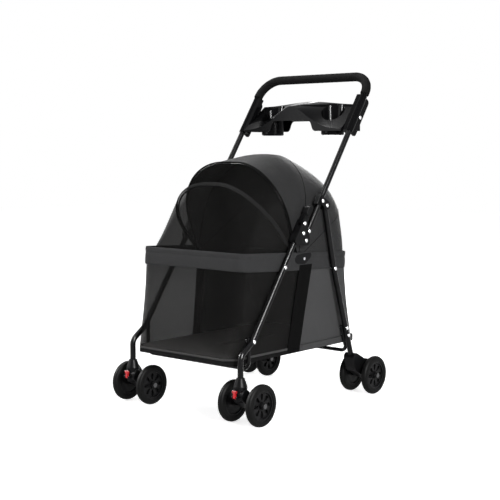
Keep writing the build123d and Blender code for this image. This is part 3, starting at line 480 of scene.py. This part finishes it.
# Black piping on the canopy's front edge and seams: lean, turn to the rear, lift off the cloth and radius
PIPING = {
    "canopy_front_binding": (REAR_ARCH[0], 0.3, 2.0, 2.2),
    "canopy_seam_piping": (SEAM_LEANS[1], 0.0, 0.4, 1.5),
    "canopy_rear_piping": (SEAM_LEANS[2], 0.0, 0.4, 1.2),
}
bindings = [
    tube_piece(name, fan(canopy_line(lean, lift), lean + turn), radius, BINDING)
    for name, (lean, turn, lift, radius) in PIPING.items()
]

# Tape over the net where it bends round the front hoop: reach to the rear or the rim, and lift off the net
TAPE_PROFILE = ((-6.5, 0.3), (-5.5, 0.6), (-2.5, 0.8), (0.0, 0.9), (2.5, 0.8), (5.5, 0.6), (6.5, 0.3))
hoop_line = sections[1]
to_rear, to_rim = unit(sections[0] - hoop_line), unit(sections[2] - hoop_line)
off_net = unit(hoop_line - (0.0, *CANOPY_PIVOT))
tape_rows = [
    hoop_line + (to_rear if reach < 0 else to_rim) * abs(reach) + off_net * lift for reach, lift in TAPE_PROFILE
]
hood_tape = grid_piece("hood_hoop_binding", tape_rows, HEM_PAINTED_LIGHT)


# Wire hoops: the rear one in the canopy's edge, clear of the hood that opens under it, the front one under the net
def hoop_piece(name, lean, height, shoulder, half, radius):
    """A wire bent to an arch, down to the pivot line."""
    return tube_piece(name, fan(arch_line(height, shoulder, half, start=0.0), lean), radius, PAINT)


rear_hoop = hoop_piece(
    "rear_hoop_wire", REAR_ARCH[0], REAR_ARCH[1] - REAR_HOOP_DROP, REAR_ARCH[2] - REAR_HOOP_DROP,
    CANOPY_HALF - REAR_HOOP_DROP, REAR_HOOP_RADIUS,
)
front_hoop = hoop_piece(
    "front_hoop_wire", FRONT_ARCH[0], FRONT_ARCH[1] - FRONT_HOOP_DROP, FRONT_ARCH[2] - FRONT_HOOP_DROP,
    FRONT_HOOP_HALF, HOOP_RADIUS,
)

# Band round the rim: a folded strip with a soft rolled edge
slope = math.atan2(BAND_FRONT[1] - BAND_REAR[1], BAND_REAR[0] - BAND_FRONT[0])
rim_middle = np.array([0.0, (BAND_FRONT[0] + BAND_REAR[0]) / 2, (BAND_FRONT[1] + BAND_REAR[1]) / 2])
rim_half_length = math.hypot(BAND_REAR[0] - BAND_FRONT[0], BAND_FRONT[1] - BAND_REAR[1]) / 2
rim_y = np.array([0.0, math.cos(slope), -math.sin(slope)])
rim_up = np.array([0.0, math.sin(slope), math.cos(slope)])


def end_path(half, split, end, corner, counts=(14, 12, 20)):
    """Half of a rounded outline: from the left side's split round the end to the right side's."""
    sign = 1 if end > split else -1
    side = [(-half, y) for y in np.linspace(split, end - sign * corner, counts[0], endpoint=False)]
    turn = np.linspace(0, math.pi / 2, counts[1], endpoint=False)
    curve = [(-half + corner * (1 - math.cos(a)), end - sign * corner * (1 - math.sin(a))) for a in turn]
    straight = [(x, end) for x in np.linspace(-half + corner, 0, counts[2])]
    line = side + curve + straight
    return np.array(line + [(-x, y) for x, y in reversed(line[:-1])])


def on_rim(path, drop):
    """Outline points set in the rim's sloping plane, a drop below the rim."""
    return rim_middle + path[:, :1] * (1, 0, 0) + path[:, 1:] * rim_y - np.reshape(drop, (-1, 1)) * rim_up


def outward(path):
    """Unit vectors that point out of a closed outline."""
    tangent = unit(np.roll(path, -1, axis=0) - np.roll(path, 1, axis=0))
    normal = np.stack([tangent[:, 1], -tangent[:, 0]], axis=1)
    sign = np.sign(((path - path.mean(axis=0)) * normal).sum(axis=1))
    return normal * sign[:, None]


front_half = end_path(BAND_HALF, 0.0, -rim_half_length, BAND_CORNER, (30, 16, 30))
rear_half = end_path(BAND_HALF, 0.0, rim_half_length, BAND_CORNER, (30, 16, 30))
ring = np.concatenate([front_half, rear_half[::-1][1:-1]])
ring_out = outward(ring)
round_ring = run_length(ring)
BAND_PROFILE = [  # out from the band's face, and down from its top
    (-2.2, BAND_HEIGHT - 1.0), (-0.8, BAND_HEIGHT), (0.2, BAND_HEIGHT - 0.6), (0.5, 44.0), (0.6, 34.0), (0.4, 24.0),
    (0.0, 17.5), (-0.7, 15.8), (0.4, 14.0), (0.8, 8.0), (0.6, 2.5), (-0.4, 0.2), (-2.0, 0.4), (-3.2, 3.0), (-3.4, 20.0),
    (-3.2, 40.0),
]
band_rows = []
for out, drop in BAND_PROFILE:
    wave = sum(size * np.sin(round_ring / across + drop / down) for size, across, down in BAND_WAVES)
    shift = out + (wave * BAND_WAVE_SHARE if out > -1 else 0.0)
    sag = BAND_SAG[0] * np.sin(round_ring / BAND_SAG[1]) if drop > BAND_SAG_START else 0.0
    band_rows.append(on_rim(ring + ring_out * np.reshape(shift, (-1, 1)), drop + sag))
band_grid = np.array(band_rows + band_rows[:1]).transpose(1, 0, 2)
band = grid_piece("rim_band_cloth", band_grid, BAND, closed=True)

# Basket walls: net in front, cloth behind, from the mat's edge up into the band
floor_middle_y = (mat_low[1] + mat_high[1]) / 2
edge_z = mat_low[2] + MAT_EDGE


def seam_y(z):
    """The slanting seam between net and cloth, seen from the side."""
    return STRAP_FOOT_Y + (z - edge_z) * STRAP_SLOPE


def wall_piece(name, front, material):
    """One half of the basket's wall, drawn in a little between floor and band."""
    sign = -1 if front else 1
    foot_z = edge_z + FOOT_GAP
    foot_end = (mat_low[1] + WALL_INSET) if front else (mat_high[1] - WALL_INSET)
    foot = end_path(FLOOR_HALF - WALL_INSET - FOOT_GAP, seam_y(foot_z), foot_end, BAND_CORNER - WALL_INSET)
    top_drop = BAND_HEIGHT - WALL_TUCK
    split = (seam_y(rim_middle[2] - top_drop) - rim_middle[1]) / math.cos(slope)
    top_end = sign * (rim_half_length - WALL_DEPTH)
    top = end_path(BAND_HALF - WALL_DEPTH, split, top_end, BAND_CORNER - WALL_DEPTH)
    foot_points = np.column_stack([foot, np.full(len(foot), foot_z)])
    top_points = on_rim(top, top_drop)
    along = np.linspace(0, 1, len(foot))[:, None]
    middle = np.array([0.0, floor_middle_y, 0.0])
    size, across, climb = WALL_RIPPLE
    rows = []
    for t in np.linspace(0, 1, WALL_ROWS):
        row = foot_points + (top_points - foot_points) * t
        inward = unit((middle - row) * (1, 1, 0))
        ripple = size * np.sin(along * across + climb * t)
        rows.append(row + inward * (WALL_SLACK + ripple) * math.sin(math.pi * t))
    return grid_piece(name, rows, material)


net_wall = wall_piece("net_wall", True, NET)
cloth_wall = thicken(wall_piece("rear_cloth_wall", False, CLOTH), WALL_THICKNESS)

# Webbing straps over the seams between net and cloth, from the floor's edge up to the pivot plates
half_width = STRAP_WIDTH / 2
strap_section = [  # out from the strap's middle plane, and across it
    (-0.3, -half_width), (0.1, -half_width + 0.4), (0.3, -half_width + 2.0), (0.1, -half_width + 4.0),
    (0.2, -half_width / 2), (0.3, 0.0), (0.2, half_width / 2), (0.1, half_width - 4.0), (0.3, half_width - 2.0),
    (0.1, half_width - 0.4), (-0.3, half_width),
]
band_bottom_z = rim_middle[2] - BAND_HEIGHT
strap_z = [FLOOR_BOTTOM, mat_low[2], edge_z, (edge_z + band_bottom_z) / 2, band_bottom_z, STRAP_TOP_Z]
strap_x = [
    FLOOR_HALF + 0.6, FLOOR_HALF + 0.6, FLOOR_HALF + 0.4, (FLOOR_HALF + BAND_HALF) / 2, BAND_HALF + 1.1,
    BAND_HALF + 1.2,
]
strap_pieces = []
for side, side_name in SIDES:
    rows = []
    for z in np.linspace(FLOOR_BOTTOM + 1.0, STRAP_TOP_Z, STRAP_ROWS):
        x = float(np.interp(z, strap_z, strap_x))
        rows.append([(side * (x + out), seam_y(z) + y, z) for out, y in strap_section])
    strap = grid_piece(f"webbing_{side_name}", rows, WEBBING)
    strap_pieces.append(thicken(strap, STRAP_THICKNESS, -side))


# Padded floor mat: a soft edge that carries the walls round a raised pad, chamfered in front
def mat_outline(inset):
    """Outline of the mat, drawn in from its edge."""
    half = FLOOR_HALF - inset
    low_y, high_y = mat_low[1] + inset, mat_high[1] - inset
    corner = max(FLOOR_CORNER - inset * 0.4, 2.0)
    left = [(-half, y) for y in np.linspace(high_y - corner, low_y + corner, 46)]
    front_left = [(-half + corner * t, low_y + corner * (1 - t)) for t in np.linspace(0.2, 0.8, 5)]
    front = [(x, low_y) for x in np.linspace(-half + corner, half - corner, 34)]
    front_right = [(-x, y) for x, y in reversed(front_left)]
    right = [(-x, y) for x, y in reversed(left)]
    turn = np.linspace(0, math.pi / 2, 8)[1:-1]
    rear_right = [(half - corner * (1 - math.cos(a)), high_y - corner * (1 - math.sin(a))) for a in turn]
    rear = [(x, high_y) for x in np.linspace(half - corner, -half + corner, 34)]
    rear_left = [(-x, y) for x, y in reversed(rear_right)]
    return np.array(left + front_left + front + front_right + right + rear_right + rear + rear_left)


pad_rise = mat_high[2] - edge_z
EDGE_PROFILE = [  # in from the mat's edge, and up from its underside
    (3.0, 0.05), (0.6, 0.4), (0.0, 1.8), (0.0, 4.0), (0.5, 5.4), (1.6, MAT_EDGE), (4.0, MAT_EDGE), (8.4, MAT_EDGE),
    (9.8, MAT_EDGE + 0.2),
]
PAD_PROFILE = [  # in from the mat's edge, and share of the pad's rise over the edge
    (10.6, 0.6), (12.2, 0.95), (15.0, 1.0), (34.0, 1.0), (60.0, 0.95), (95.0, 0.93), (130.0, 0.92), (160.0, 0.92),
    (180.0, 0.92),
]
mat_rows = []
for inset, rise in EDGE_PROFILE + [(inset, MAT_EDGE + share * pad_rise) for inset, share in PAD_PROFILE]:
    outline = mat_outline(inset)
    dimple = 0.12 * np.sin(outline[:, 0] / 37.0) * np.sin(outline[:, 1] / 43.0) - 0.12 if inset > 20 else 0.0
    mat_rows.append(np.column_stack([outline, np.broadcast_to(mat_low[2] + rise + dimple, len(outline))]))
mat = grid_piece("floor_pad", np.array(mat_rows).transpose(1, 0, 2), MAT_PAINTED_LIGHT, closed=True, capped=True)
# The lip rows keep the cloth's plain darker tone, and the pad above them carries the painted light
mat.data.materials.append(MAT_LIP_CLOTH)
for index, face in enumerate(mat.data.polygons):
    lip = len(face.vertices) == 4 and index % (len(mat_rows) - 1) < MAT_LIP_ROWS
    face.material_index = 1 if lip else 0

# Cloth skirt over the floor's edge behind the straps
skirt_start = seam_y(mat_low[2]) + half_width - 3.0
skirt_path = end_path(FLOOR_HALF + SKIRT_GAP, skirt_start, mat_high[1] + SKIRT_GAP, FLOOR_CORNER)
skirt_rows = [
    np.column_stack([skirt_path, np.full(len(skirt_path), z)])
    for z in np.linspace(FLOOR_BOTTOM + SKIRT_GAP, edge_z + 1.0, SKIRT_ROWS)
]
skirt = thicken(grid_piece("floor_skirt", skirt_rows, CLOTH), SKIRT_THICKNESS, 1.0)

# Bright rivets on the canopy's knobs
rivet_pieces = []
for side, side_name in SIDES:
    points = [
        (side * (KNOB_FACE_X + out), KNOB_RIVET[0] + r * math.cos(a), KNOB_RIVET[1] + r * math.sin(a))
        for r, out in RIVET_RINGS for a in circle(RIVET_SIDES)
    ]
    count = RIVET_SIDES
    faces = [
        (i * count + c, i * count + (c + 1) % count, (i + 1) * count + (c + 1) % count, (i + 1) * count + c)
        for i in range(len(RIVET_RINGS) - 1) for c in range(count)
    ]
    faces.append(tuple(range((len(RIVET_RINGS) - 1) * count, len(RIVET_RINGS) * count)))
    rivet_pieces.append(piece(f"pivot_rivet_{side_name}", points, faces, PLATED))

# Thin dust shields inside the hubs, behind their windows
shields = []
for part in frame["record"]["subparts"]:
    if not part["node"].startswith("hub_"):
        continue
    hub_low, hub_high = (np.array(c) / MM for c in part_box(part["node"]))
    x, y, z = (hub_low + hub_high) / 2
    inward = np.sign(np.sign(x) * LEG_X - x)
    hub_radius = (hub_high[2] - hub_low[2]) / 2
    shield_profile = [  # radius, and distance in from the hub's web
        (BOSS_RADIUS + 0.3, 0.3), (BOSS_RADIUS + 1.5, 0.4), (BOSS_RADIUS + 4.0, 1.2), (hub_radius - 10.0, 1.2),
        (hub_radius - 7.0, 0.5), (hub_radius - HUB_RIM - 0.4, 0.4),
    ]
    shield_rows = [
        [(x + inward * (WEB_FACE + out), y + r * math.cos(a), z + r * math.sin(a)) for r, out in shield_profile]
        for a in circle(SHIELD_SIDES)
    ]
    shield = grid_piece(part["node"].replace("hub_", "shield_"), shield_rows, HUB, closed=True)
    shields.append((thicken(shield, SHIELD_THICKNESS, 0.0), part["node"].replace("hub_", "wheel_")))


# Foam grip along the bends and bar of the handle
def on_handle(along, behind=0.0):
    """A point on the handle's line, seen from the side."""
    y = FOLD_PIVOT[0] + along * math.sin(LEAN) + behind * math.cos(LEAN)
    return np.array([y, FOLD_PIVOT[1] + along * math.cos(LEAN) - behind * math.sin(LEAN)])


handle_along = (HANDLE_HEIGHT - FOLD_PIVOT[1]) / math.cos(LEAN)
grip_half = arch_line(handle_along, HANDLE_BEND, LEG_X, start=GRIP_START, counts=(4, 22, 60))
grip_path = np.array([(x, *on_handle(s)) for x, s in grip_half])
grip_length = run_length(grip_path)
from_end = np.minimum(grip_length, grip_length[-1] - grip_length)
grip_radii = (
    GRIP_RADIUS - GRIP_ROUND[0] * np.exp(-from_end / GRIP_ROUND[1])
    + GRIP_RIPPLE[0] * np.sin(grip_length / GRIP_RIPPLE[1])
)
grip = tube_piece("foam_grip", grip_path, grip_radii, FOAM, sides=36)

# What each piece stands for, the body that carries it, and how it is made
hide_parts("canopy")
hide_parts("hood_mesh")
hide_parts("rear_hoop")
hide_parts("front_hoop")
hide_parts("rim_band", "rim_strip")
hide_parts("mesh_wall")
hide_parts("cloth_wall")
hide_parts("side_webbing")
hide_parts("floor_mat")
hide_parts("grip")
rides = [
    (canopy, "front_frame", "cloth"), (hood, "hood", "mesh"), (rear_hoop, "front_frame", "frame_tube"),
    (front_hoop, "hood", "frame_tube"), (band, "front_frame", "cloth"), (net_wall, "front_frame", "mesh"),
    (cloth_wall, "front_frame", "cloth"), (mat, "floor", "mat"), (grip, "handle", "foam"),
]
rides += [(skirt, "floor", "cloth"), (hood_tape, "hood", "webbing")]
rides += [(strap, "front_frame", "webbing") for strap in strap_pieces]
rides += [(rivet, "front_frame", "rivet") for rivet in rivet_pieces]
rides += [(shield, body, "hub") for shield, body in shields]
rides += [(binding, "front_frame", "webbing") for binding in bindings]
stiff = [mat, grip, skirt, *rivet_pieces, *(shield for shield, body in shields)]
for obj, body, slot in rides:
    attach(obj, body)
    if obj not in stiff:
        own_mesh(obj)

# Floor, light and camera
FLOOR_GLOW = 0.74
FLOOR_REACH = 9.0
WORLD_LIGHT = 0.28
LIGHTS = (  # name, place, height aimed at, width and height of the light, power, and whether it lights matt faces
    ("key", (2.9, -1.1, 1.4), 0.4, (1.0, 1.0), 76.0, True),
    ("fill", (-1.7, -2.9, 1.1), 0.3, (1.4, 1.4), 42.0, True),
    ("back", (-1.2, 2.9, 1.3), 0.4, (1.4, 1.4), 40.0, True),
    ("strip_right", (2.5, -1.2, 1.9), 0.5, (0.3, 1.8), 420.0, False),
    ("strip_left", (-2.5, -1.2, 2.1), 0.5, (0.3, 1.8), 360.0, False),
    ("strip_top", (-0.8, 0.2, 3.2), 0.5, (0.4, 1.6), 300.0, False),
)
CAMERA_PLACE = (2.132, -2.482, 0.729)
CAMERA_DOWN = 5.116
CAMERA_TURN = 40.844
CAMERA_LENS = 80.68


def seen_rays(add, others, seen_value):
    """One value for rays that show the background and another for the rays that light the object."""
    path = add("ShaderNodeLightPath")
    seen = path.outputs["Is Camera Ray"]
    for name in ("Is Glossy Ray", "Is Transmission Ray"):
        seen = add("ShaderNodeMath", {0: seen, 1: path.outputs[name]}, operation="MAXIMUM").outputs[0]
    return add("ShaderNodeMapRange", {"Value": seen, "To Min": others, "To Max": seen_value}).outputs["Result"]


floor_material, floor_shader, add, links = node_tree("pale_floor")
floor_coords = add("ShaderNodeTexCoord").outputs["Object"]
floor_noise = add("ShaderNodeTexNoise", {"Vector": floor_coords, "Scale": 3.0})
links.new(
    mix_colors(add, floor_noise.outputs["Fac"], (0.93, 0.93, 0.93, 1.0), (0.95, 0.95, 0.95, 1.0)),
    floor_shader.inputs["Base Color"],
)
floor_shader.inputs["Roughness"].default_value = 0.9
floor_shader.inputs["Specular IOR Level"].default_value = 0.0
floor_shader.inputs["Emission Color"].default_value = (1.0, 1.0, 1.0, 1.0)
links.new(seen_rays(add, 0.0, FLOOR_GLOW), floor_shader.inputs["Emission Strength"])
floor_mesh = bpy.data.meshes.new("studio_floor")
floor_mesh.from_pydata(
    [(x * FLOOR_REACH, y * FLOOR_REACH, 0) for x, y in ((-1, -1), (1, -1), (1, 1), (-1, 1))], [], [(0, 1, 2, 3)],
)
floor_mesh.materials.append(floor_material)
floor = bpy.data.objects.new("studio_floor", floor_mesh)
scene.collection.objects.link(floor)

world = bpy.data.worlds.new("studio")
scene.world = world
world.use_nodes = True
backdrop = world.node_tree.nodes["Background"]
backdrop.inputs["Color"].default_value = (1.0, 1.0, 1.0, 1.0)
add, links = node_adder(world.node_tree)
links.new(seen_rays(add, WORLD_LIGHT, 1.0), backdrop.inputs["Strength"])

for name, place, aim, (width, height), power, diffuse in LIGHTS:
    light_data = bpy.data.lights.new(name, "AREA")
    light_data.energy = power
    light_data.shape = "RECTANGLE"
    light_data.size = width
    light_data.size_y = height
    light = bpy.data.objects.new(name, light_data)
    light.location = place
    light.rotation_euler = (Vector((0, 0, aim)) - Vector(place)).to_track_quat("-Z", "Y").to_euler()
    light.visible_diffuse = diffuse
    scene.collection.objects.link(light)

camera_data = bpy.data.cameras.new("camera")
camera_data.sensor_width = 36.0
camera_data.lens = CAMERA_LENS
camera_data.clip_end = 60.0
camera = bpy.data.objects.new("camera", camera_data)
camera.location = CAMERA_PLACE
camera.rotation_euler = (math.radians(90 - CAMERA_DOWN), 0.0, math.radians(CAMERA_TURN))
scene.collection.objects.link(camera)
scene.camera = camera
